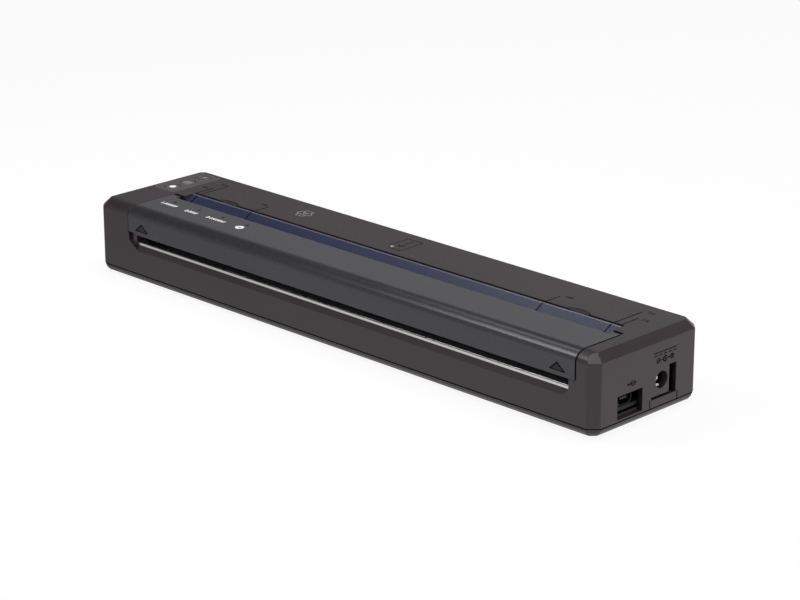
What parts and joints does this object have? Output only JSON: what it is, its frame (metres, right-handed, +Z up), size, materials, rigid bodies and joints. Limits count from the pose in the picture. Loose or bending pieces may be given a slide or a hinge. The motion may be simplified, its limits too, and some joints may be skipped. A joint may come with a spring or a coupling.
{
  "type": "portable thermal printer",
  "caption": "Slim battery-powered A4 thermal printer: a long low case with a hinged front cover over a geared platen roller, a paper feed slot, key panel, data port and power jack.",
  "frame": {"origin": "middle of the 255 x 55 mm footprint, on the plane of the feet", "axes": "+X to the right seen from the front with the exit slot, the front faces -Y, +Z up"},
  "size_m": [0.255, 0.055, 0.03],
  "materials": {
    "case_plastic": "fine matt moulded texture",
    "cover_plastic": "fine matt moulded texture, a cooler grey",
    "keypad_plastic": "smooth satin",
    "key_plastic": "smooth satin",
    "strip_plastic": "smooth satin, bluish",
    "frame_plastic": "moulded black",
    "bar_steel": "rolled sheet, bright edge",
    "sheet_steel": "plated sheet",
    "shaft_steel": "turned",
    "platen_rubber": "ground rubber",
    "foot_rubber": "soft rubber",
    "gear_plastic": "acetal",
    "bush_plastic": "filled bearing plastic",
    "motor_steel": "zinc plated",
    "sink_aluminium": "extruded",
    "head_board": "glazed strip on a ceramic plate",
    "driver_plastic": "potting compound",
    "circuit_board": "green solder mask",
    "chip_plastic": "moulded black",
    "window_plastic": "clear smoky",
    "lamp_plastic": "clear",
    "socket_metal": "tin plated sheet",
    "jack_plastic": "moulded black",
    "pin_metal": "plated pin",
    "contact_brass": "sprung contact",
    "battery_wrap": "black housing",
    "cable_plastic": "flat cable"
  },
  "bodies": {
    "base": {"top_case": "case_plastic", "bottom_cover": "case_plastic", "battery_door": "case_plastic", "rubber_feet": "foot_rubber", "case_screws": "shaft_steel", "hinge_pins": "shaft_steel", "cover_catches": "sheet_steel", "paper_guide_strip": "strip_plastic", "tear_bar": "bar_steel", "roller_frame": "frame_plastic", "paper_sensor": "chip_plastic", "left_side_plate": "sheet_steel", "right_side_plate": "sheet_steel", "platen_bushes": "bush_plastic", "gear_studs": "shaft_steel", "drive_motor": "motor_steel", "motor_screws": "shaft_steel", "head_pivot_rod": "shaft_steel", "head_springs": "sheet_steel", "keypad_panel": "keypad_plastic", "button_board": "circuit_board", "button_switches": "chip_plastic", "data_socket": "socket_metal", "dc_jack": "jack_plastic", "jack_pin": "pin_metal", "jack_contact": "contact_brass", "jack_tab": "case_plastic", "io_board": "circuit_board", "main_board": "circuit_board", "board_components": "chip_plastic", "battery_pack": "battery_wrap", "battery_contacts": "contact_brass", "head_ribbon_cable": "cable_plastic"},
    "release_cover": {"front_cover": "cover_plastic", "cover_inner_guide": "frame_plastic", "indicator_board": "circuit_board", "indicator_lamps": "lamp_plastic", "indicator_windows": "window_plastic"},
    "platen": {"platen_shaft": "shaft_steel", "platen_rubber": "platen_rubber", "platen_gear": "gear_plastic"},
    "first_gear": {"first_reduction_gear": "gear_plastic"},
    "second_gear": {"second_reduction_gear": "gear_plastic"},
    "motor_rotor": {"motor_pinion": "gear_plastic"},
    "print_head": {"head_heat_sink": "sink_aluminium", "print_head_board": "head_board", "head_driver_cover": "driver_plastic"},
    "front_button": {"front_key": "key_plastic"},
    "middle_button": {"middle_key": "key_plastic"},
    "rear_button": {"rear_key": "key_plastic"}
  },
  "joints": [
    {"name": "cover_hinge", "type": "hinge", "parent": "base", "child": "release_cover", "pos_m": [0, -0.0062, 0.0276], "axis": [-1, 0, 0], "range_deg": [0, 95]},
    {"name": "platen_spin", "type": "hinge", "parent": "base", "child": "platen", "pos_m": [0, -0.0156, 0.0229], "axis": [1, 0, 0], "continuous": true},
    {"name": "first_gear_spin", "type": "hinge", "parent": "base", "child": "first_gear", "pos_m": [0, -0.012, 0.01666], "axis": [1, 0, 0], "continuous": true},
    {"name": "second_gear_spin", "type": "hinge", "parent": "base", "child": "second_gear", "pos_m": [0, -0.00144, 0.01442], "axis": [1, 0, 0], "continuous": true},
    {"name": "motor_spin", "type": "hinge", "parent": "base", "child": "motor_rotor", "pos_m": [0, 0.00816, 0.01442], "axis": [1, 0, 0], "continuous": true},
    {"name": "head_pivot", "type": "hinge", "parent": "base", "child": "print_head", "pos_m": [0, -0.0062, 0.0136], "axis": [1, 0, 0], "range_deg": [0, 2.5], "stiffness_Nm_per_rad": 0.5, "springref_deg": -5.73},
    {"name": "front_button_press", "type": "slide", "parent": "base", "child": "front_button", "axis": [0, 0, -1], "range_m": [0, 0.0005], "stiffness_N_per_m": 600, "springref_m": -0.0005},
    {"name": "middle_button_press", "type": "slide", "parent": "base", "child": "middle_button", "axis": [0, 0, -1], "range_m": [0, 0.0005], "stiffness_N_per_m": 600, "springref_m": -0.0005},
    {"name": "rear_button_press", "type": "slide", "parent": "base", "child": "rear_button", "axis": [0, 0, -1], "range_m": [0, 0.0005], "stiffness_N_per_m": 600, "springref_m": -0.0005}
  ],
  "couplings": [
    {"joint": "first_gear_spin", "follows": "platen_spin", "ratio": -1.5714},
    {"joint": "second_gear_spin", "follows": "platen_spin", "ratio": 4.4898},
    {"joint": "motor_spin", "follows": "platen_spin", "ratio": -13.469}
  ]
}
